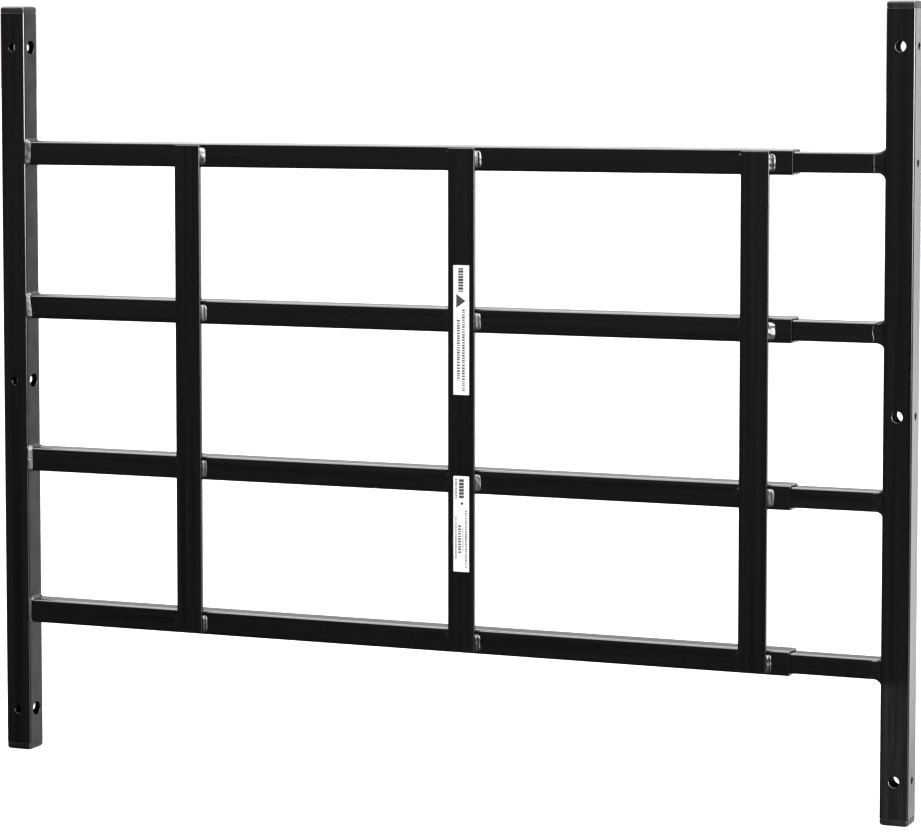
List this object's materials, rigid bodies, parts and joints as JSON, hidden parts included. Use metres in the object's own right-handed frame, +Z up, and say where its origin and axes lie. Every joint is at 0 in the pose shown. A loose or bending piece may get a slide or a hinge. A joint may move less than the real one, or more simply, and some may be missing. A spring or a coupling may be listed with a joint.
{
  "type": "adjustable window guard",
  "caption": "Telescoping window guard: square bars and upright straps welded between hollow posts with screw holes, one half sliding inside the other.",
  "frame": {"origin": "foot of the posts, midway between their outer faces at the rest width and midway between the front of the labels and the back of the posts", "axes": "+X along the bars, from the fixed post to the sliding post; +Y away from the room, through the thickness; +Z up the posts"},
  "size_m": [0.814, 0.0253, 0.65],
  "materials": {
    "powder_coated_steel": "black gloss powder coat over square steel tube and flat bar",
    "weld_bead": "rippled weld bead under black gloss powder coat",
    "cap_plastic": "black moulded plastic, slightly matte",
    "label_vinyl": "white film with plain abstract dark marks"
  },
  "bodies": {
    "outer_frame": {"left_post": "powder_coated_steel", "left_post_top_cap": "cap_plastic", "left_post_bottom_cap": "cap_plastic", "outer_bar_1": "powder_coated_steel", "outer_bar_2": "powder_coated_steel", "outer_bar_3": "powder_coated_steel", "outer_bar_4": "powder_coated_steel", "strap_1": "powder_coated_steel", "strap_2": "powder_coated_steel", "strap_3": "powder_coated_steel", "upper_label": "label_vinyl", "lower_label": "label_vinyl", "left_post_weld_1": "weld_bead", "left_post_weld_2": "weld_bead", "left_post_weld_3": "weld_bead", "left_post_weld_4": "weld_bead", "strap_1_bar_1_left_weld": "weld_bead", "strap_1_bar_1_right_weld": "weld_bead", "strap_1_bar_2_left_weld": "weld_bead", "strap_1_bar_2_right_weld": "weld_bead", "strap_1_bar_3_left_weld": "weld_bead", "strap_1_bar_3_right_weld": "weld_bead", "strap_1_bar_4_left_weld": "weld_bead", "strap_1_bar_4_right_weld": "weld_bead", "strap_2_bar_1_left_weld": "weld_bead", "strap_2_bar_1_right_weld": "weld_bead", "strap_2_bar_2_left_weld": "weld_bead", "strap_2_bar_2_right_weld": "weld_bead", "strap_2_bar_3_left_weld": "weld_bead", "strap_2_bar_3_right_weld": "weld_bead", "strap_2_bar_4_left_weld": "weld_bead", "strap_2_bar_4_right_weld": "weld_bead", "strap_3_bar_1_left_weld": "weld_bead", "strap_3_bar_1_right_weld": "weld_bead", "strap_3_bar_2_left_weld": "weld_bead", "strap_3_bar_2_right_weld": "weld_bead", "strap_3_bar_3_left_weld": "weld_bead", "strap_3_bar_3_right_weld": "weld_bead", "strap_3_bar_4_left_weld": "weld_bead", "strap_3_bar_4_right_weld": "weld_bead"},
    "inner_frame": {"right_post": "powder_coated_steel", "right_post_top_cap": "cap_plastic", "right_post_bottom_cap": "cap_plastic", "inner_bar_1": "powder_coated_steel", "inner_bar_2": "powder_coated_steel", "inner_bar_3": "powder_coated_steel", "inner_bar_4": "powder_coated_steel", "right_post_weld_1": "weld_bead", "right_post_weld_2": "weld_bead", "right_post_weld_3": "weld_bead", "right_post_weld_4": "weld_bead"}
  },
  "joints": [
    {"name": "width_slide", "type": "slide", "parent": "outer_frame", "child": "inner_frame", "axis": [1, 0, 0], "range_m": [-0.063, 0.151]}
  ]
}
